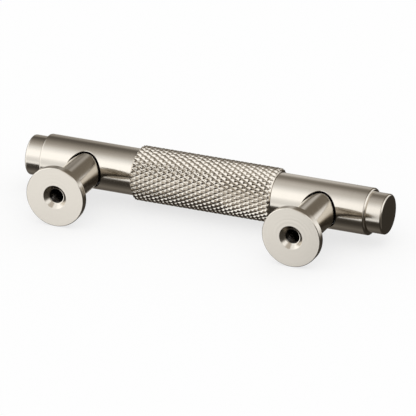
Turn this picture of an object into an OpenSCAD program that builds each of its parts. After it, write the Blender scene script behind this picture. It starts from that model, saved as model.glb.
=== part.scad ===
// Furniture pull handle: a round bar with a knurled grip, carried on two
// posts whose round feet are screwed to a door or drawer front from behind.
// X runs along the bar, the mounting faces lie on y = 0 and face +Y, Z is up.
// All sizes are in millimetres.

/* [Mounting] */

// Distance between the two tapped mounting holes
hole_spacing = 64; // [50:1:192]

// Distance from the mounting faces to the axis of the bar
bar_drop = 23.2; // [21:0.1:40]

// Diameter of a foot
foot_dia = 15.6; // [13.5:0.1:20]

// Thickness of a foot
foot_thickness = 2; // [1:0.1:5]

// Small break on both edges of a foot
foot_edge = 0.15; // [0.05:0.05:0.4]

// Core diameter of the tapped mounting hole
tap_core_dia = 3.3; // [2.5:0.05:4.2]

// Depth of the tapped mounting hole
tap_depth = 9; // [6:0.5:9.5]

// Diameter of the countersink at the mouth of the mounting hole
sink_dia = 6.2; // [5:0.1:7]

/* [Posts] */

// Diameter of a post
post_dia = 9; // [8:0.1:9.2]

// Gap all round between a post and the hole it enters in the bar
post_gap = 0.3; // [0.15:0.05:0.35]

// Height of a post's seat above the axis of the bar
seat_height = 2.5; // [1.5:0.1:3]

// Depth of the tapped hole in the bar end of a post
post_tap_depth = 6.5; // [5.5:0.5:7.5]

/* [Bar] */

// Outer diameter of the bar
bar_dia = 12; // [11.7:0.1:13]

// Thickness of the bar's wall
bar_wall = 1.05; // [0.9:0.05:1.2]

// Distance from a mounting hole's centre to the near end of the bar
bar_overhang = 12.3; // [10.5:0.1:30]

// Break on the outer edges of the bar
bar_edge = 0.7; // [0.2:0.05:0.8]

/* [End caps] */

// Step from the bar's outside down to the visible part of an end cap
cap_step = 0.85; // [0.75:0.05:0.85]

// Length of the visible part of an end cap
cap_length = 4.3; // [2:0.1:10]

// Break on the outer edge of an end cap
cap_edge = 0.45; // [0.1:0.05:1]

// Length of the spigot that holds an end cap in the bar
spigot_length = 4.5; // [2:0.1:5]

/* [Knurled grip] */

// Height of the knurling's points above the bar
knurl_rise = 1; // [1:0.05:2]

// Length of the knurled sleeve
knurl_length = 38; // [20:1:44]

// Depth of the knurling from its points to its grooves
knurl_depth = 0.5; // [0.2:0.05:0.6]

// Number of diamonds around the sleeve
knurl_starts = 32; // [20:1:36]

// Number of diamonds along the sleeve, in whole or half rows
knurl_rows = 15.5; // [8:0.5:20]

// Width of the chamfered band at each end of the sleeve
knurl_border = 0.5; // [0.4:0.1:2]

// Drop of that chamfer below the grooves of the knurling
knurl_border_drop = 0.2; // [0.05:0.05:0.3]

/* [Fixings] */

// Play along the bar between an inner slug and the spigot of an end cap
anchor_play = 0.6; // [0.2:0.1:1]

// Core diameter of the tapped holes for a joining screw
joiner_core_dia = 4.2; // [3.5:0.05:4.5]

// Length of a headless joining screw
joiner_length = 10; // [8:0.5:11]

// Depth that a joining screw reaches into its post
joiner_reach = 5; // [3:0.5:5.5]

// Width across flats of the hexagonal socket in a joining screw
socket_width = 2.5; // [2:0.1:2.8]

// Depth of the hexagonal socket in a joining screw
socket_depth = 2; // [1:0.1:3]

/* [Fits] */

// Radial clearance of the pieces that slide into each other
slide_fit = 0.05; // [0.02:0.01:0.1]

/* [Colours] */

// Colour of the satin nickel finish
nickel = "#b9b2a8"; // [#b9b2a8, #8f8a83, #c9a227]

// Colour of the plain steel fixings
steel = "#8c8c8c"; // [#8c8c8c, #6e6e6e]

/* [Hidden] */

$fn = 96;
eps = 0.01;
half_spacing = hole_spacing / 2;
foot_r = foot_dia / 2;
post_r = post_dia / 2;
core_r = tap_core_dia / 2;
sink_r = sink_dia / 2;
bar_r = bar_dia / 2;
bore_r = bar_r - bar_wall;
cap_r = bar_r - cap_step;
spigot_r = bore_r - slide_fit;
spigot_lead = 0.3;
hole_r = post_r + post_gap;
half_bar = half_spacing + bar_overhang;
anchor_length = 2 * (bar_overhang - spigot_length - anchor_play);
seat_depth = bar_drop - seat_height;
anchor_r = bore_r - slide_fit;
spot_r = post_r + slide_fit * 2;
joiner_core_r = joiner_core_dia / 2;
joiner_r = joiner_core_r - slide_fit;
joiner_lead = 0.3;
sleeve_bore_r = bar_r + slide_fit;
peak_r = bar_r + knurl_rise;
valley_r = peak_r - knurl_depth;
field_length = knurl_length - 2 * knurl_border;
row_pitch = field_length / knurl_rows;
start_angle = 360 / knurl_starts;
half_turns = 2 * knurl_rows;
ring_points = 2 * knurl_starts;
border_r = valley_r - knurl_border_drop;
tap_cone = core_r;

// Turns a child drawn along +Z so that it runs along the bar
module along_bar() {
    translate([0, -bar_drop, 0])
        rotate([0, 90, 0])
            children();
}

// Turns a child drawn along +Z so that it runs from a mounting face to the bar
module into_bar(x) {
    translate([x, 0, 0])
        rotate([90, 0, 0])
            children();
}

// Hollow round bar with a hole for each post in the wall that faces the feet
module bar_tube() {
    color(nickel)
    difference() {
        along_bar()
            rotate_extrude()
                polygon([
                    [bore_r, -half_bar],
                    [bar_r - bar_edge, -half_bar],
                    [bar_r, -half_bar + bar_edge],
                    [bar_r, half_bar - bar_edge],
                    [bar_r - bar_edge, half_bar],
                    [bore_r, half_bar]
                ]);
        for (side = [-1, 1])
            into_bar(side * half_spacing)
                translate([0, 0, bar_drop - bar_r - 1])
                    cylinder(r = hole_r, h = bar_r + 1);
    }
}

// Points of one ring of the knurled surface, high and low in turn
function knurl_ring(i) = let (z = -field_length / 2 + i * row_pitch / 2)
    [for (j = [0:ring_points - 1])
        let (a = j * start_angle / 2)
        let (r = (i + j) % 2 == 0 ? peak_r : valley_r)
            [r * cos(a), r * sin(a), z]];

// Points of a plain ring that closes the knurled field at an end
function plain_ring(r, z) =
    [for (j = [0:ring_points - 1])
        let (a = j * start_angle / 2)
            [r * cos(a), r * sin(a), z]];

// Two faces between neighbouring points, split along the groove between diamonds
function ring_faces(i) =
    [for (j = [0:ring_points - 1])
        let (k = (j + 1) % ring_points)
        let (a = i * ring_points + j)
        let (b = i * ring_points + k)
        let (c = a + ring_points)
        let (d = b + ring_points)
        for (f = (i + j) % 2 == 0 ? [[a, c, d], [a, d, b]]
                                  : [[a, c, b], [b, c, d]])
            f];

// Knurled surface as a closed body, with a plain band at each end
module knurl_body() {
    rings = concat(
        [plain_ring(border_r, -knurl_length / 2)],
        [for (i = [0:half_turns]) knurl_ring(i)],
        [plain_ring(border_r, knurl_length / 2)]
    );
    last = len(rings) - 1;
    points = [for (ring = rings) for (p = ring) p];
    sides = [for (i = [0:last - 1]) for (f = ring_faces(i)) f];
    bottom = [for (j = [0:ring_points - 1]) j];
    top = [for (j = [0:ring_points - 1]) last * ring_points + ring_points - 1 - j];
    polyhedron(points, concat(sides, [bottom, top]), convexity = 6);
}

// Sleeve with a diamond knurl, pressed on the middle of the bar
module grip_sleeve() {
    color(nickel)
    difference() {
        along_bar()
            knurl_body();
        along_bar()
            translate([0, 0, -knurl_length / 2 - 1])
                cylinder(r = sleeve_bore_r, h = knurl_length + 2);
    }
}

// Stepped plug that closes one end of the bar
module end_cap() {
    rotate_extrude()
        polygon([
            [0, -spigot_length],
            [spigot_r - spigot_lead, -spigot_length],
            [spigot_r, -spigot_length + spigot_lead],
            [spigot_r, 0],
            [cap_r, 0],
            [cap_r, cap_length - cap_edge],
            [cap_r - cap_edge, cap_length],
            [0, cap_length]
        ]);
}

// Cap at the -X end of the bar
module left_end_cap() {
    color(nickel)
        along_bar()
            translate([0, 0, -half_bar])
                rotate([180, 0, 0])
                    end_cap();
}

// Cap at the +X end of the bar
module right_end_cap() {
    color(nickel)
        along_bar()
            translate([0, 0, half_bar])
                end_cap();
}

// Post turned in one with its foot, tapped at both ends
module post() {
    rotate_extrude()
        polygon([
            [0, tap_depth + tap_cone],
            [core_r, tap_depth],
            [core_r, sink_r - core_r],
            [sink_r, 0],
            [foot_r - foot_edge, 0],
            [foot_r, foot_edge],
            [foot_r, foot_thickness - foot_edge],
            [foot_r - foot_edge, foot_thickness],
            [post_r, foot_thickness],
            [post_r, seat_depth],
            [joiner_core_r, seat_depth],
            [joiner_core_r, seat_depth - post_tap_depth],
            [0, seat_depth - post_tap_depth]
        ]);
}

// Post on the -X side
module left_post() {
    color(nickel)
        into_bar(-half_spacing)
            post();
}

// Post on the +X side
module right_post() {
    color(nickel)
        into_bar(half_spacing)
            post();
}

// Round slug inside the bar with a flat seat and a tapped hole for a post
module anchor(x) {
    difference() {
        translate([x - anchor_length / 2, 0, 0])
            along_bar()
                cylinder(r = anchor_r, h = anchor_length);
        into_bar(x)
            translate([0, 0, seat_depth - 2 * bar_r])
                cylinder(r = spot_r, h = 2 * bar_r);
        into_bar(x)
            cylinder(r = joiner_core_r, h = bar_drop + bar_r);
    }
}

// Slug that holds the post on the -X side
module left_anchor() {
    color(steel)
        anchor(-half_spacing);
}

// Slug that holds the post on the +X side
module right_anchor() {
    color(steel)
        anchor(half_spacing);
}

// Headless screw with a hexagonal socket at the end inside the post
module joiner() {
    difference() {
        rotate_extrude()
            polygon([
                [0, 0],
                [joiner_r - joiner_lead, 0],
                [joiner_r, joiner_lead],
                [joiner_r, joiner_length - joiner_lead],
                [joiner_r - joiner_lead, joiner_length],
                [0, joiner_length]
            ]);
        translate([0, 0, -eps])
            cylinder(d = socket_width / cos(30), h = socket_depth + eps, $fn = 6);
    }
}

// Two screws that draw the posts onto their slugs
module joining_screws() {
    color(steel)
        for (side = [-1, 1])
            into_bar(side * half_spacing)
                translate([0, 0, seat_depth - joiner_reach])
                    joiner();
}

bar_tube();
grip_sleeve();
left_end_cap();
right_end_cap();
left_post();
right_post();
left_anchor();
right_anchor();
joining_screws();
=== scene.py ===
from math import cos, pi, radians, sin, tan

import bmesh
import bpy
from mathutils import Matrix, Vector


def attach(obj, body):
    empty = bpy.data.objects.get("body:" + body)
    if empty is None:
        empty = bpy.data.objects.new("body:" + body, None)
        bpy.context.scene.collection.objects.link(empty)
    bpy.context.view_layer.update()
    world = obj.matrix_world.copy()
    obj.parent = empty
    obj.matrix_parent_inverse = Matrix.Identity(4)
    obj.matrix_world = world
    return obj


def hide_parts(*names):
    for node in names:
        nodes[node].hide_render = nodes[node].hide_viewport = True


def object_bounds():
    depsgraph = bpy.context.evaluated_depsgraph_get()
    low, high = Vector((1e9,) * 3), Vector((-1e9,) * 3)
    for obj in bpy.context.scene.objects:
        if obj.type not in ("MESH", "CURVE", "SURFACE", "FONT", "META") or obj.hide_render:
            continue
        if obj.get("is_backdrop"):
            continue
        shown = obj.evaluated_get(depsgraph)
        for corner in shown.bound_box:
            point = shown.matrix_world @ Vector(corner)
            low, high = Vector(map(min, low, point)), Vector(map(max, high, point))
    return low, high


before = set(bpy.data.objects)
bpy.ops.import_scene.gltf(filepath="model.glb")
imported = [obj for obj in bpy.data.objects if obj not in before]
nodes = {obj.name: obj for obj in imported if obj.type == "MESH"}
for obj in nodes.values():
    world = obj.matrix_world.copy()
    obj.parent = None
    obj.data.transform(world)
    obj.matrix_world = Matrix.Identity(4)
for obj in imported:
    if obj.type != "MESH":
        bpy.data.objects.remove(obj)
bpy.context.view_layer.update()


# --- Turned bar -------------------------------------------------------------
# The bar is a drawn steel tube, turned to length with a small break on each
# end and cross-drilled for the posts. It is plated in satin nickel and finely
# brushed round its girth.
MM = 0.001
BAR_AXIS_Y = -23.2
BAR_R = 6.0
BAR_BORE_R = 4.95
HALF_BAR = 44.3
BAR_BREAK = 0.7
POST_X = 32.0
HOLE_R = 4.8
NICKEL = (0.68, 0.64, 0.575, 1.0)
RING_START = 2.3
RING_STEP = 1.05
GROOVE_BLEND = 0.15
CREST_BLEND = 0.2
WELD = 0.001
SLIVER = 0.0001
BRUSH_DRIFT = 60
LINE_DEPTH = 0.03
SKIN_START = 0.03
SKIN_END = 0.09
END_CLEAR = 0.8


def softened(corners, steps=6, hold=0.05):
    """Outline through (along, radius, rounding) corners, each an arc held flat on both sides."""
    out = []
    last = len(corners) - 1
    for i, (x, r, soft) in enumerate(corners):
        here = Vector((x, r))
        if soft == 0 or i in (0, last):
            out.append(here)
            continue
        a = Vector(corners[i - 1][:2]) - here
        b = Vector(corners[i + 1][:2]) - here
        room = 0.45 * min(a.length, b.length)
        a.normalize()
        b.normalize()
        half = a.angle(b) / 2
        cut = min(soft / tan(half), room)
        radius = cut * tan(half)
        centre = here + (a + b).normalized() * (radius / sin(half))
        start, end = here + a * cut, here + b * cut
        out.append(start + a * min(hold, room * 0.5))
        u, v = start - centre, end - centre
        sweep = u.angle(v)
        for k in range(steps + 1):
            t = k / steps
            out.append(centre + (u * sin((1 - t) * sweep) + v * sin(t * sweep)) / sin(sweep))
        out.append(end + b * min(hold, room * 0.5))
    return out


def build_turned_form():
    """Geometry nodes that spin an outline, x along and z off the axis, and cut helical grooves."""
    tree = bpy.data.node_groups.new("turned_form", "GeometryNodeTree")
    face = tree.interface
    face.new_socket("Outline", in_out="INPUT", socket_type="NodeSocketGeometry")
    face.new_socket("Segments", in_out="INPUT", socket_type="NodeSocketInt")
    for name in ("Groove Starts", "Groove Pitch", "Groove Depth", "Groove Slope", "Groove Shift",
                 "Crest", "Crossed"):
        face.new_socket(name, in_out="INPUT", socket_type="NodeSocketFloat")
    face.new_socket("Turn", in_out="INPUT", socket_type="NodeSocketVector")
    face.new_socket("Place", in_out="INPUT", socket_type="NodeSocketVector")
    face.new_socket("Finish", in_out="INPUT", socket_type="NodeSocketMaterial")
    face.new_socket("Form", in_out="OUTPUT", socket_type="NodeSocketGeometry")
    add = tree.nodes.new
    link = tree.links.new
    given = add("NodeGroupInput").outputs

    def math(operation, *values):
        node = add("ShaderNodeMath")
        node.operation = operation
        for socket, value in zip(node.inputs, values):
            if isinstance(value, (int, float)):
                socket.default_value = value
            else:
                link(value, socket)
        return node.outputs[0]

    size = add("GeometryNodeAttributeDomainSize")
    link(given["Outline"], size.inputs["Geometry"])
    around = math("ADD", given["Segments"], 1)
    grid = add("GeometryNodeMeshGrid")
    link(size.outputs["Point Count"], grid.inputs["Vertices X"])
    link(around, grid.inputs["Vertices Y"])
    index = add("GeometryNodeInputIndex").outputs[0]
    column = math("FLOOR", math("DIVIDE", math("ADD", index, 0.5), around))
    row = math("SUBTRACT", index, math("MULTIPLY", column, around))
    angle = math("MULTIPLY", math("DIVIDE", row, given["Segments"]), 2 * pi)

    def from_outline(value, kind):
        take = add("GeometryNodeSampleIndex")
        take.data_type = kind
        link(given["Outline"], take.inputs["Geometry"])
        link(value, take.inputs["Value"])
        link(column, take.inputs["Index"])
        return take.outputs["Value"]

    split = add("ShaderNodeSeparateXYZ")
    link(from_outline(add("GeometryNodeInputPosition").outputs[0], "FLOAT_VECTOR"), split.inputs[0])
    along, radius = split.outputs["X"], split.outputs["Z"]
    cut = add("GeometryNodeInputNamedAttribute")
    cut.inputs["Name"].default_value = "cut"
    cut = from_outline(cut.outputs["Attribute"], "FLOAT")
    share = math("DIVIDE", angle, 2 * pi)
    turns = math("ADD", math("MULTIPLY", share, given["Groove Starts"]), given["Groove Shift"])
    steps = math("ADD", math("DIVIDE", along, given["Groove Pitch"]), given["Groove Shift"])
    right = math("PINGPONG", math("ADD", turns, steps), 0.5)
    left = math("PINGPONG", math("SUBTRACT", turns, steps), 0.5)
    left = math("MAXIMUM", left, math("MULTIPLY", math("SUBTRACT", 1, given["Crossed"]), 0.5))
    steep = math("MINIMUM", math("MULTIPLY", math("MULTIPLY", right, 2), given["Groove Slope"]), 1)
    ridge = math("SMOOTH_MIN", steep, math("MULTIPLY", left, 2), GROOVE_BLEND)
    height = math("SMOOTH_MIN", ridge, given["Crest"], CREST_BLEND)
    below_crest = math("MULTIPLY", math("SUBTRACT", given["Crest"], height), cut)
    dip = math("MULTIPLY", below_crest, given["Groove Depth"])
    radius = math("SUBTRACT", radius, dip)
    where = add("ShaderNodeCombineXYZ")
    link(along, where.inputs["X"])
    link(math("MULTIPLY", radius, math("COSINE", angle)), where.inputs["Y"])
    link(math("MULTIPLY", radius, math("SINE", angle)), where.inputs["Z"])
    spun = add("GeometryNodeSetPosition")
    link(grid.outputs["Mesh"], spun.inputs["Geometry"])
    link(where.outputs[0], spun.inputs["Position"])

    def on_faces(value):
        node = add("GeometryNodeFieldOnDomain")
        node.domain = "FACE"
        link(value, node.inputs[0])
        return node.outputs[0]

    grooved = math("GREATER_THAN", on_faces(cut), 0.01)
    leans = math("GREATER_THAN", on_faces(math("SUBTRACT", right, left)), 0)
    form = spun.outputs[0]
    for method, chosen in (("FIXED", math("MULTIPLY", grooved, leans)), ("FIXED_ALTERNATE", grooved)):
        split_faces = add("GeometryNodeTriangulate")
        split_faces.quad_method = method
        link(form, split_faces.inputs["Mesh"])
        link(chosen, split_faces.inputs["Selection"])
        form = split_faces.outputs[0]
    closed = add("GeometryNodeMergeByDistance")
    closed.inputs["Distance"].default_value = WELD * MM
    link(form, closed.inputs["Geometry"])
    placed = add("GeometryNodeTransform")
    link(closed.outputs[0], placed.inputs["Geometry"])
    link(given["Turn"], placed.inputs["Rotation"])
    link(given["Place"], placed.inputs["Translation"])
    real = add("GeometryNodeRealizeInstances")
    link(placed.outputs[0], real.inputs[0])
    finish = add("GeometryNodeSetMaterial")
    link(real.outputs[0], finish.inputs["Geometry"])
    link(given["Finish"], finish.inputs["Material"])
    link(finish.outputs[0], add("NodeGroupOutput").inputs[0])
    return tree


turned_form = build_turned_form()


def turned(name, outline, finish, segments=160, cuts=None, grooves=None, turn=(0, 0, 0),
           place=(0, 0, 0), crease=35):
    """Plain mesh object spun from an outline in millimetres."""
    mesh = bpy.data.meshes.new(name)
    spots = [(x * MM, 0, r * MM) for x, r in outline]
    mesh.from_pydata(spots, [(i, i + 1) for i in range(len(outline) - 1)], [])
    weights = mesh.attributes.new("cut", "FLOAT", "POINT")
    for i, value in enumerate(cuts or [0.0] * len(outline)):
        weights.data[i].value = value
    piece = bpy.data.objects.new(name, mesh)
    bpy.context.scene.collection.objects.link(piece)
    spin = piece.modifiers.new("turned", "NODES")
    spin.node_group = turned_form
    starts, pitch, depth, slope, shift, crest, crossed = grooves or (1, 1, 0, 1, 0, 1, 0)
    wanted = {
        "Segments": segments, "Groove Starts": float(starts), "Groove Pitch": pitch * MM,
        "Groove Depth": depth * MM, "Groove Slope": float(slope), "Groove Shift": float(shift),
        "Crest": float(crest), "Crossed": float(crossed), "Turn": turn,
        "Place": [p * MM for p in place], "Finish": finish,
    }
    for item in turned_form.interface.items_tree:
        if item.in_out == "INPUT" and item.name in wanted:
            spin[item.identifier] = wanted[item.name]
    bpy.context.view_layer.update()
    shaped = piece.evaluated_get(bpy.context.evaluated_depsgraph_get())
    made = bpy.data.meshes.new_from_object(shaped)
    piece.modifiers.remove(spin)
    piece.data = made
    bpy.data.meshes.remove(mesh)
    made.name = name
    shell = bmesh.new()
    shell.from_mesh(made)
    bmesh.ops.dissolve_degenerate(shell, dist=SLIVER * MM, edges=shell.edges)
    bmesh.ops.recalc_face_normals(shell, faces=shell.faces)
    shell.to_mesh(made)
    shell.free()
    made.shade_smooth()
    made.set_sharp_from_angle(angle=radians(crease))
    return piece


def build_brushing():
    """Shader group: fine lines left by brushing or turning, as a height and a roughness."""
    group = bpy.data.node_groups.new("brushed_lines", "ShaderNodeTree")
    face = group.interface
    for name, value in (("Across", 0.0), ("Line Width", 0.0002), ("Roughness", 0.15), ("Spread", 0.05)):
        socket = face.new_socket(name, in_out="INPUT", socket_type="NodeSocketFloat")
        socket.default_value = value
    face.new_socket("Where", in_out="INPUT", socket_type="NodeSocketVector")
    face.new_socket("Height", in_out="OUTPUT", socket_type="NodeSocketFloat")
    face.new_socket("Roughness", in_out="OUTPUT", socket_type="NodeSocketFloat")
    add = group.nodes.new
    link = group.links.new
    given = add("NodeGroupInput").outputs
    result = add("NodeGroupOutput").inputs
    line = add("ShaderNodeMath")
    line.operation = "DIVIDE"
    link(given["Across"], line.inputs[0])
    link(given["Line Width"], line.inputs[1])
    drift = add("ShaderNodeVectorMath")
    drift.operation = "SCALE"
    drift.inputs["Scale"].default_value = BRUSH_DRIFT
    link(given["Where"], drift.inputs[0])
    apart = add("ShaderNodeSeparateXYZ")
    link(drift.outputs[0], apart.inputs[0])
    joined = add("ShaderNodeCombineXYZ")
    link(line.outputs[0], joined.inputs["X"])
    link(apart.outputs["Y"], joined.inputs["Y"])
    link(apart.outputs["Z"], joined.inputs["Z"])
    lines = add("ShaderNodeTexNoise")
    lines.inputs["Scale"].default_value = 1
    lines.inputs["Detail"].default_value = 3
    lines.inputs["Roughness"].default_value = 0.6
    link(joined.outputs[0], lines.inputs["Vector"])
    rough = add("ShaderNodeMath")
    rough.operation = "MULTIPLY_ADD"
    centred = add("ShaderNodeMath")
    centred.operation = "SUBTRACT"
    centred.inputs[1].default_value = 0.5
    link(lines.outputs[0], centred.inputs[0])
    link(centred.outputs[0], rough.inputs[0])
    link(given["Spread"], rough.inputs[1])
    link(given["Roughness"], rough.inputs[2])
    link(lines.outputs[0], result["Height"])
    link(rough.outputs[0], result["Roughness"])
    return group


brushed_lines = build_brushing()


def distance_to_post(tree, apart):
    """Distance of a finish's own points, taken apart in x, y and z, from the nearer post's axis."""
    add = tree.nodes.new
    link = tree.links.new
    side = add("ShaderNodeMath")
    side.operation = "ABSOLUTE"
    link(apart.outputs["X"], side.inputs[0])
    off = add("ShaderNodeMath")
    off.operation = "SUBTRACT"
    off.inputs[1].default_value = POST_X * MM
    link(side.outputs[0], off.inputs[0])
    flat = add("ShaderNodeCombineXYZ")
    link(off.outputs[0], flat.inputs["X"])
    link(apart.outputs["Z"], flat.inputs["Z"])
    far = add("ShaderNodeVectorMath")
    far.operation = "LENGTH"
    link(flat.outputs[0], far.inputs[0])
    return far.outputs["Value"]


def nickel(name, across, line_width=0.00022, roughness=0.14, spread=0.12, bump=0.12, tint=NICKEL):
    """Satin nickel whose brushing lines run round the bar or round the posts."""
    finish = bpy.data.materials.new(name)
    finish.use_nodes = True
    tree = finish.node_tree
    add = tree.nodes.new
    link = tree.links.new
    metal = tree.nodes["Principled BSDF"]
    metal.inputs["Base Color"].default_value = tint
    metal.inputs["Metallic"].default_value = 1.0
    where = add("ShaderNodeTexCoord").outputs["Object"]
    lines = add("ShaderNodeGroup")
    lines.node_tree = brushed_lines
    lines.inputs["Line Width"].default_value = line_width
    lines.inputs["Roughness"].default_value = roughness
    lines.inputs["Spread"].default_value = spread
    link(where, lines.inputs["Where"])
    apart = add("ShaderNodeSeparateXYZ")
    link(where, apart.inputs[0])
    if across == "along bar":
        link(apart.outputs["X"], lines.inputs["Across"])
    else:
        both = add("ShaderNodeMath")
        link(distance_to_post(tree, apart), both.inputs[0])
        link(apart.outputs["Y"], both.inputs[1])
        link(both.outputs[0], lines.inputs["Across"])
    link(lines.outputs["Roughness"], metal.inputs["Roughness"])
    relief = add("ShaderNodeBump")
    relief.inputs["Strength"].default_value = bump
    relief.inputs["Distance"].default_value = LINE_DEPTH * MM
    link(lines.outputs["Height"], relief.inputs["Height"])
    link(relief.outputs["Normal"], metal.inputs["Normal"])
    return finish


bar_finish = nickel("satin_nickel_bar", "along bar")


def build_gap_shade():
    """Shader group for painted shade: one below the bar's skin, in the gaps round the posts, and nought
    outside.
    """
    group = bpy.data.node_groups.new("painted_gap_shade", "ShaderNodeTree")
    group.interface.new_socket("Where", in_out="INPUT", socket_type="NodeSocketVector")
    group.interface.new_socket("Inside", in_out="OUTPUT", socket_type="NodeSocketFloat")
    add = group.nodes.new
    link = group.links.new
    spot = add("ShaderNodeSeparateXYZ")
    link(add("NodeGroupInput").outputs["Where"], spot.inputs[0])
    down = add("ShaderNodeMath")
    down.operation = "SUBTRACT"
    down.inputs[1].default_value = BAR_AXIS_Y * MM
    link(spot.outputs["Y"], down.inputs[0])
    flat = add("ShaderNodeCombineXYZ")
    link(down.outputs[0], flat.inputs["Y"])
    link(spot.outputs["Z"], flat.inputs["Z"])
    radial = add("ShaderNodeVectorMath")
    radial.operation = "LENGTH"
    link(flat.outputs[0], radial.inputs[0])
    inside = add("ShaderNodeMapRange")
    inside.inputs["From Min"].default_value = (BAR_R - SKIN_START) * MM
    inside.inputs["From Max"].default_value = (BAR_R - SKIN_END) * MM
    link(radial.outputs["Value"], inside.inputs["Value"])
    along = add("ShaderNodeMath")
    along.operation = "COMPARE"
    along.inputs[1].default_value = 0.0
    along.inputs[2].default_value = (HALF_BAR - END_CLEAR) * MM
    link(spot.outputs["X"], along.inputs[0])
    both = add("ShaderNodeMath")
    both.operation = "MULTIPLY"
    link(inside.outputs["Result"], both.inputs[0])
    link(along.outputs[0], both.inputs[1])
    link(both.outputs[0], add("NodeGroupOutput").inputs["Inside"])
    return group


painted_gap_shade = build_gap_shade()


def darkened(finish, mask, colour=(0.05, 0.047, 0.043, 1)):
    """Lay a dark colour, painted shade, over a finish where the mask is one."""
    tree = finish.node_tree
    metal = tree.nodes["Principled BSDF"]
    below = metal.inputs["Base Color"]
    shade = tree.nodes.new("ShaderNodeMix")
    shade.data_type = "RGBA"
    shade.inputs["A"].default_value = below.default_value
    if below.is_linked:
        tree.links.new(below.links[0].from_socket, shade.inputs["A"])
    shade.inputs["B"].default_value = colour
    tree.links.new(mask, shade.inputs["Factor"])
    tree.links.new(shade.outputs["Result"], below)


def gap_shade_mask(finish):
    """Mask of a finish's own points that lie below the bar's skin, where shade is painted."""
    tree = finish.node_tree
    mask = tree.nodes.new("ShaderNodeGroup")
    mask.node_tree = painted_gap_shade
    tree.links.new(tree.nodes.new("ShaderNodeTexCoord").outputs["Object"], mask.inputs["Where"])
    return mask.outputs["Inside"]


# Painted shade: the bar is darkened below its skin, on the walls of its post holes, away from its ends.
darkened(bar_finish, gap_shade_mask(bar_finish))
ring_count = int((2 * HALF_BAR - 2 * RING_START) / RING_STEP) + 1
bar_rings = [(-HALF_BAR + RING_START + i * RING_STEP, BAR_R, 0) for i in range(ring_count)]
bar_outline = softened([
    (-HALF_BAR, BAR_BORE_R, 0),
    (-HALF_BAR, BAR_R, BAR_BREAK),
] + bar_rings + [
    (HALF_BAR, BAR_R, BAR_BREAK),
    (HALF_BAR, BAR_BORE_R, 0),
    (-HALF_BAR, BAR_BORE_R, 0),
])
bar = turned("bar", bar_outline, bar_finish, segments=256, place=(0, BAR_AXIS_Y, 0))
HOLE_BREAK = 0.13
HOLE_POINTS = 144
CUTTER_FLOOR = 2.0
CUTTER_TOP = BAR_R + 1
CUTTER_FLARE = 0.1
CUTTER_POINT = 0.5
SKIN_TOLERANCE = 0.004
BAR_CREASE = 30
cutter_rings = ((0, CUTTER_FLOOR), (0, None), (HOLE_BREAK, None), (HOLE_BREAK + CUTTER_FLARE, CUTTER_TOP))
for side in (-1, 1):
    cutter = bmesh.new()
    rings = []
    for grow, height in cutter_rings:
        ring = []
        for i in range(HOLE_POINTS):
            turn = 2 * pi * i / HOLE_POINTS
            r = HOLE_R + grow
            x, z = r * cos(turn), r * sin(turn)
            up = height or (BAR_R ** 2 - z ** 2) ** 0.5 + grow - HOLE_BREAK
            ring.append(cutter.verts.new(Vector((side * POST_X + x, BAR_AXIS_Y + up, z)) * MM))
        rings.append(ring)
    for low, high in zip(rings, rings[1:]):
        for i in range(HOLE_POINTS):
            j = (i + 1) % HOLE_POINTS
            cutter.faces.new((low[i], low[j], high[j], high[i]))
    for ring, up in ((rings[0], CUTTER_FLOOR), (rings[-1], CUTTER_TOP + CUTTER_POINT)):
        tip = cutter.verts.new(Vector((side * POST_X, BAR_AXIS_Y + up, 0)) * MM)
        for i in range(HOLE_POINTS):
            cutter.faces.new((tip, ring[i], ring[(i + 1) % HOLE_POINTS]))
    bmesh.ops.recalc_face_normals(cutter, faces=cutter.faces)
    cutter_mesh = bpy.data.meshes.new("post_hole_cutter")
    cutter.to_mesh(cutter_mesh)
    cutter.free()
    bit = bpy.data.objects.new("post_hole_cutter", cutter_mesh)
    bpy.context.scene.collection.objects.link(bit)
    bore = bar.modifiers.new("bore", "BOOLEAN")
    bore.operation = "DIFFERENCE"
    bore.solver = "EXACT"
    bore.object = bit
    bpy.context.view_layer.update()
    shaped = bar.evaluated_get(bpy.context.evaluated_depsgraph_get())
    drilled = bpy.data.meshes.new_from_object(shaped)
    bar.modifiers.remove(bore)
    bar.data = drilled
    bpy.data.objects.remove(bit)
bar.data.materials.clear()
bar.data.materials.append(bar_finish)
bar.data.shade_smooth()
bar.data.set_sharp_from_angle(angle=radians(BAR_CREASE))
round_normals = []
for face in bar.data.polygons:
    spots = [bar.data.vertices[i].co / MM for i in face.vertices]
    outward = [Vector((0, v.y - BAR_AXIS_Y, v.z)) for v in spots]
    on_skin = all(abs(away.length - BAR_R) < SKIN_TOLERANCE for away in outward)
    for away in outward:
        round_normals.append(away.normalized() if on_skin else Vector())
bar.data.normals_split_custom_set(round_normals)
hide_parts("bar_tube")
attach(bar, "root")


# --- Knurled grip -----------------------------------------------------------
# A sleeve pressed on the middle of the bar. Two crossing sets of grooves are
# rolled into it, which leave rows of small diamonds, and its ends are
# chamfered below the grooves.
KNURL_R = 7.0
KNURL_HALF = 19.0
KNURL_STARTS = 32
KNURL_ROWS = 15.5
KNURL_DEPTH = 0.5
DIAMOND_RISE = 0.46
DIAMOND_CREST = 0.8
DIAMOND_SLOPE = 1.35
POINTS_PER_ROW = 12
POINTS_PER_START = 12
GROOVE_SHIFT = 0.25
KNURL_BORDER = 0.5
KNURL_DROP = 0.2
KNURL_BORE_R = 6.05
SLEEVE_BREAK = 0.03
field = 2 * (KNURL_HALF - KNURL_BORDER)
knurl_pitch = field / KNURL_ROWS
edge_r = KNURL_R - KNURL_DEPTH - KNURL_DROP
knurl_finish = nickel("satin_nickel_knurl", "along bar", roughness=0.09, spread=0.04, bump=0.0)
grip_end = [
    (KNURL_HALF - SLEEVE_BREAK, edge_r),
    (KNURL_HALF, edge_r - SLEEVE_BREAK),
    (KNURL_HALF, KNURL_BORE_R),
]
grip_outline = [(-x, r) for x, r in reversed(grip_end)]
grip_cuts = [0.0] * len(grip_end)
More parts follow.
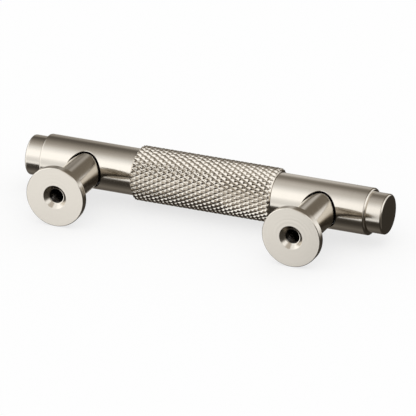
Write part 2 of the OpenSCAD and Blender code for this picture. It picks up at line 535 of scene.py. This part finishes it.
for i in range(int(KNURL_ROWS * POINTS_PER_ROW) + 1):
    grip_outline.append((-field / 2 + i * knurl_pitch / POINTS_PER_ROW, KNURL_R))
    grip_cuts.append(1.0)
grip_outline += grip_end + [(-KNURL_HALF, KNURL_BORE_R)]
grip_cuts += [0.0] * (len(grip_end) + 1)
diamonds = (KNURL_STARTS, knurl_pitch, DIAMOND_RISE, DIAMOND_SLOPE, GROOVE_SHIFT, DIAMOND_CREST, 1)
grip = turned("knurled_grip", grip_outline, knurl_finish, segments=KNURL_STARTS * POINTS_PER_START,
              cuts=grip_cuts, grooves=diamonds, place=(0, BAR_AXIS_Y, 0), crease=50)
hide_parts("grip_sleeve")
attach(grip, "root")


# --- End caps ---------------------------------------------------------------
# Stepped plugs of solid bar, turned and faced, pressed into the ends of the
# tube. Only the narrow nose with its small chamfer stays in sight.
CAP_R = 5.15
CAP_LENGTH = 4.3
CAP_BREAK = 0.45
SPIGOT_R = 4.9
SPIGOT_LENGTH = 4.5
SPIGOT_LEAD = 0.3
LEAD_SOFT = 0.1
SHOULDER_SOFT = 0.04
cap_finish = nickel("satin_nickel_cap", "along bar")
for side, name in ((-1, "left_end_cap"), (1, "right_end_cap")):
    cap_outline = softened([
        (-SPIGOT_LENGTH, 0, 0),
        (-SPIGOT_LENGTH, SPIGOT_R - SPIGOT_LEAD, LEAD_SOFT),
        (-SPIGOT_LENGTH + SPIGOT_LEAD, SPIGOT_R, LEAD_SOFT),
        (0, SPIGOT_R, 0),
        (0, CAP_R, SHOULDER_SOFT),
        (CAP_LENGTH, CAP_R, CAP_BREAK),
        (CAP_LENGTH, 0, 0),
    ])
    cap = turned("cap_" + name.split("_")[0], cap_outline, cap_finish,
                 turn=(0, 0, pi if side < 0 else 0), place=(side * HALF_BAR, BAR_AXIS_Y, 0))
    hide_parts(name)
    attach(cap, "root")


# --- Posts with their feet --------------------------------------------------
# Each post is turned in one with a wide foot. The foot's face is faced flat
# and drilled, countersunk and tapped M4 for the screw that comes through the
# door or drawer front.
FOOT_R = 7.8
FOOT_THICK = 2.0
FOOT_EDGE = 0.15
FOOT_BACK_EDGE = 0.15
POST_R = 4.5
SEAT = 20.7
TAP_R = 1.65
TAP_DEPTH = 9.0
SINK_R = 3.1
SINK_DEPTH = 0.95
LEAD_DEPTH = 1.3
END_TAP_R = 2.1
END_TAP = 6.5
THREAD_PITCH = 0.7
THREAD_DEPTH = 0.35
THREAD_CREST = 0.9
POINTS_PER_TURN = 8
SHADE_START = 1.96
SHADE_FULL = 1.85
BORE_SHADE = (0.035, 0.033, 0.03, 1)
EDGE_SOFT = 0.05
POST_FILLET = 0.25
SINK_WIDTH = 1.0
STEP_WIDTH = 0.3
STEP_DEPTH = 0.05
STEP_SOFT = 0.03
post_finish = nickel("satin_nickel_post", "round post", roughness=0.18, spread=0.16, bump=0.2)
# Painted shade: the post's finish is darkened to near black in its tapped hole, within about 1.9 mm of
# its axis.
tree = post_finish.node_tree
spot = tree.nodes.new("ShaderNodeSeparateXYZ")
tree.links.new(tree.nodes.new("ShaderNodeTexCoord").outputs["Object"], spot.inputs[0])
bore_shade_mask = tree.nodes.new("ShaderNodeMapRange")
bore_shade_mask.inputs["From Min"].default_value = SHADE_START * MM
bore_shade_mask.inputs["From Max"].default_value = SHADE_FULL * MM
tree.links.new(distance_to_post(tree, spot), bore_shade_mask.inputs["Value"])
darkened(post_finish, bore_shade_mask.outputs["Result"], BORE_SHADE)
# Painted shade: each post is darkened where it passes below the bar's skin into the bar's hole.
darkened(post_finish, gap_shade_mask(post_finish))
thread_points = int((TAP_DEPTH - LEAD_DEPTH) / (THREAD_PITCH / POINTS_PER_TURN))
post_outline = [Vector((TAP_DEPTH + TAP_R, 0)), Vector((TAP_DEPTH, TAP_R))]
post_cuts = [0.0, 0.0]
for i in range(thread_points - POINTS_PER_TURN, 0, -1):
    post_outline.append(Vector((LEAD_DEPTH + i * THREAD_PITCH / POINTS_PER_TURN, TAP_R)))
    post_cuts.append(-1.0)
outer = softened([
    (LEAD_DEPTH, TAP_R, 0),
    (SINK_DEPTH + STEP_DEPTH, TAP_R + STEP_WIDTH, STEP_SOFT),
    (SINK_DEPTH, SINK_R - SINK_WIDTH, EDGE_SOFT),
    (0, SINK_R, EDGE_SOFT),
    (0, FOOT_R - FOOT_EDGE, EDGE_SOFT),
    (FOOT_EDGE, FOOT_R, EDGE_SOFT),
    (FOOT_THICK, FOOT_R, FOOT_BACK_EDGE),
    (FOOT_THICK, POST_R, POST_FILLET),
    (SEAT, POST_R, EDGE_SOFT),
    (SEAT, END_TAP_R, 0),
    (SEAT - END_TAP, END_TAP_R, 0),
    (SEAT - END_TAP, 0, 0),
])
post_outline += outer
post_cuts += [0.0] * len(outer)
for side, name in ((-1, "left_post"), (1, "right_post")):
    post = turned("post_" + name.split("_")[0], post_outline, post_finish, segments=192, cuts=post_cuts,
                  grooves=(1, THREAD_PITCH, THREAD_DEPTH, 1, 0, THREAD_CREST, 0), turn=(0, 0, -pi / 2),
                  place=(side * POST_X, 0, 0), crease=40)
    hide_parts(name)
    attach(post, "root")


# --- Slugs and joining screws -----------------------------------------------
# Inside the bar each post sits on a turned steel slug and is drawn down on it
# by a headless screw. Both are plain machined steel with a film of oil.
steel_finish = nickel("plain_steel", "along bar", roughness=0.3, tint=(0.5, 0.5, 0.5, 1.0))
for name in ("left_anchor", "right_anchor", "joining_screws"):
    nodes[name].data.materials.clear()
    nodes[name].data.materials.append(steel_finish)


# --- Floor, light and camera ------------------------------------------------
# A pale table and even light all round. The metal also mirrors a round tent
# that nothing else sees: bright panels above and in front, dark cloth below,
# a darker side where the camera stands and a bright panel at the far end.
TABLE_HALF = 6
FLOOR_Z = -(FOOT_R + 0.05) * MM
FLOOR_LIFT = 0.7
floor_mesh = bpy.data.meshes.new("floor")
corners = [(x * TABLE_HALF, y * TABLE_HALF, FLOOR_Z) for x, y in ((-1, -1), (1, -1), (1, 1), (-1, 1))]
floor_mesh.from_pydata(corners, [], [(0, 1, 2, 3)])
floor = bpy.data.objects.new("floor", floor_mesh)
bpy.context.scene.collection.objects.link(floor)
floor_finish = bpy.data.materials.new("pale_table")
floor_finish.use_nodes = True
tree = floor_finish.node_tree
table_top = tree.nodes["Principled BSDF"]
table_top.inputs["Base Color"].default_value = (0.97, 0.97, 0.97, 1)
table_top.inputs["Roughness"].default_value = 1.0
table_top.inputs["Specular IOR Level"].default_value = 0.0
seen = tree.nodes.new("ShaderNodeEmission")
lift = tree.nodes.new("ShaderNodeMixShader")
share = tree.nodes.new("ShaderNodeMath")
share.operation = "MULTIPLY"
share.inputs[1].default_value = FLOOR_LIFT
tree.links.new(tree.nodes.new("ShaderNodeLightPath").outputs["Is Camera Ray"], share.inputs[0])
tree.links.new(share.outputs[0], lift.inputs[0])
tree.links.new(table_top.outputs[0], lift.inputs[1])
tree.links.new(seen.outputs[0], lift.inputs[2])
tree.links.new(lift.outputs[0], tree.nodes["Material Output"].inputs["Surface"])
floor_mesh.materials.append(floor_finish)
floor.visible_glossy = False
floor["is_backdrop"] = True

TENT_R = 0.35
TENT_TOP = 1.5
HALF_TURN = 180
WARMEST = 0.3
GREEN_WARMTH = 0.45
SIDE_WARMTH = 0.42
SEAM_EDGE = (0.31, 0.43)
NEAR_SIDE_EDGE = (0.27, 0.12)
SIDE_WINDOW_EDGE = (-0.36, -0.46)
FAR_END_EDGE = (0.56, 0.7)
NEAR_END_EDGE = (-0.7, -0.8)
tent_mesh = bpy.data.meshes.new("tent")
dome = bmesh.new()
bmesh.ops.create_icosphere(dome, subdivisions=6, radius=TENT_R)
dome.to_mesh(tent_mesh)
dome.free()
tent = bpy.data.objects.new("tent", tent_mesh)
bpy.context.scene.collection.objects.link(tent)
tent_finish = bpy.data.materials.new("tent_light")
tent_finish.use_nodes = True
tree = tent_finish.node_tree
tree.nodes.clear()
add = tree.nodes.new
link = tree.links.new
apart = add("ShaderNodeSeparateXYZ")
link(add("ShaderNodeTexCoord").outputs["Object"], apart.inputs[0])
rise = add("ShaderNodeMath")
rise.operation = "ARCTAN2"
link(apart.outputs["Z"], rise.inputs[0])
link(apart.outputs["Y"], rise.inputs[1])
turn = add("ShaderNodeMapRange")
turn.inputs["From Min"].default_value = -pi
turn.inputs["From Max"].default_value = pi
link(rise.outputs[0], turn.inputs["Value"])


def tent_panels(stops, warmth=0.25):
    """Ramp of grey levels set at the given degrees round the bar, the darker ones warmer."""
    tones = add("ShaderNodeValToRGB")
    ramp = tones.color_ramp
    for i, (degrees, level) in enumerate(stops):
        spot = (degrees + HALF_TURN) / (2 * HALF_TURN)
        if i == 0 or i == len(stops) - 1:
            stop = ramp.elements[0 if i == 0 else -1]
            stop.position = spot
        else:
            stop = ramp.elements.new(spot)
        warm = min(WARMEST, warmth * max(0, 1 - level))
        tone = level / TENT_TOP
        stop.color = (tone, tone * (1 - GREEN_WARMTH * warm), tone * (1 - warm), 1)
    link(turn.outputs[0], tones.inputs["Fac"])
    return tones.outputs["Color"]


def reach(start, end):
    """Smooth step along the bar between two shares of the tent's radius."""
    step = add("ShaderNodeMapRange")
    step.interpolation_type = "SMOOTHSTEP"
    step.inputs["From Min"].default_value = start * TENT_R
    step.inputs["From Max"].default_value = end * TENT_R
    link(apart.outputs["X"], step.inputs["Value"])
    return step.outputs[0]


def over(below, above, factor):
    """One tone laid over another."""
    lay = add("ShaderNodeMix")
    lay.data_type = "RGBA"
    link(factor, lay.inputs["Factor"])
    link(below, lay.inputs["A"])
    link(above, lay.inputs["B"])
    return lay.outputs["Result"]


lower = [
    (-180, 0.58), (-150, 0.5), (-136, 0.16), (-115, 0.13), (-100, 0.19), (-90, 0.2), (-75, 0.12),
    (-60, 0.06), (-46, 0.05), (-34, 0.1), (-28, 1.2), (-22, 1.22), (-10, 1.0), (4, 1.08), (14, 1.3),
    (20, 1.5), (46, 1.5), (56, 1.34), (66, 1.1),
]
right_panels = tent_panels(lower + [
    (76, 0.91), (86, 0.78), (97, 0.74), (108, 0.6), (118, 0.42), (127, 0.28), (138, 0.26), (147, 0.38),
    (157, 0.66), (167, 0.7), (180, 0.6),
])
left_panels = tent_panels(lower + [
    (76, 0.88), (86, 0.64), (97, 0.46), (108, 0.35), (118, 0.24), (127, 0.18), (138, 0.12), (147, 0.15),
    (157, 0.32), (167, 0.38), (180, 0.3),
])
seam = add("ShaderNodeMapRange")
seam.inputs["From Min"].default_value = SEAM_EDGE[0] * TENT_R
seam.inputs["From Max"].default_value = SEAM_EDGE[1] * TENT_R
link(apart.outputs["X"], seam.inputs["Value"])
near_side = tent_panels([
    (-180, 0.06), (-100, 0.05), (-60, 0.04), (-20, 0.03), (-5, 0.1), (8, 0.3), (25, 0.5), (45, 0.65),
    (70, 0.6), (85, 0.35), (100, 0.14), (131, 0.14), (148, 0.2), (165, 0.24), (180, 0.1),
], SIDE_WARMTH)
side_window = tent_panels([
    (-180, 1.1), (-172, 0.9), (-164, 0.1), (-158, 0.04), (-90, 0.04), (-60, 0.05), (-20, 0.1), (0, 0.5),
    (30, 1.2), (100, 1.4), (125, 0.9), (145, 0.7), (155, 0.9), (168, 1.3), (180, 1.1),
], SIDE_WARMTH)
far_end = tent_panels([
    (-180, 0.2), (-110, 0.1), (-90, 0.2), (-74, 0.4), (-56, 1.1), (-40, 1.5), (108, 1.5),
    (126, 0.6), (140, 0.15), (180, 0.1),
])
near_end = tent_panels([
    (-180, 0.3), (-70, 0.06), (20, 0.06), (45, 0.5), (60, 1.4), (150, 1.4), (180, 0.5),
])
tent_tone = over(right_panels, left_panels, seam.outputs[0])
tent_tone = over(tent_tone, near_side, reach(*NEAR_SIDE_EDGE))
tent_tone = over(tent_tone, side_window, reach(*SIDE_WINDOW_EDGE))
tent_tone = over(tent_tone, far_end, reach(*FAR_END_EDGE))
tent_tone = over(tent_tone, near_end, reach(*NEAR_END_EDGE))
glow = add("ShaderNodeEmission")
glow.inputs["Strength"].default_value = TENT_TOP
link(tent_tone, glow.inputs["Color"])
link(glow.outputs[0], add("ShaderNodeOutputMaterial").inputs["Surface"])
tent_mesh.materials.append(tent_finish)
tent.visible_camera = False
tent.visible_diffuse = False
tent.visible_shadow = False
tent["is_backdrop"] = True

scene = bpy.context.scene
world = bpy.data.worlds.new("soft_room")
world.use_nodes = True
background = world.node_tree.nodes["Background"]
background.inputs["Color"].default_value = (1, 1, 1, 1)
background.inputs["Strength"].default_value = 1.0
scene.world = world
scene.view_settings.view_transform = "Standard"

camera_data = bpy.data.cameras.new("camera")
camera = bpy.data.objects.new("camera", camera_data)
scene.collection.objects.link(camera)
CAMERA_AIM = Vector((-4.3, -12.5, -1.6)) * MM
CAMERA_TURN = radians(23.5)
CAMERA_RISE = radians(23.1)
CAMERA_AWAY = 2.083
CAMERA_LENS = 723.0
camera.location = CAMERA_AIM + CAMERA_AWAY * Vector((
    -sin(CAMERA_TURN) * cos(CAMERA_RISE),
    cos(CAMERA_TURN) * cos(CAMERA_RISE),
    sin(CAMERA_RISE),
))
camera.rotation_euler = (CAMERA_AIM - camera.location).to_track_quat("-Z", "Y").to_euler()
camera_data.lens = CAMERA_LENS
camera_data.clip_end = 20
scene.camera = camera

low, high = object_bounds()
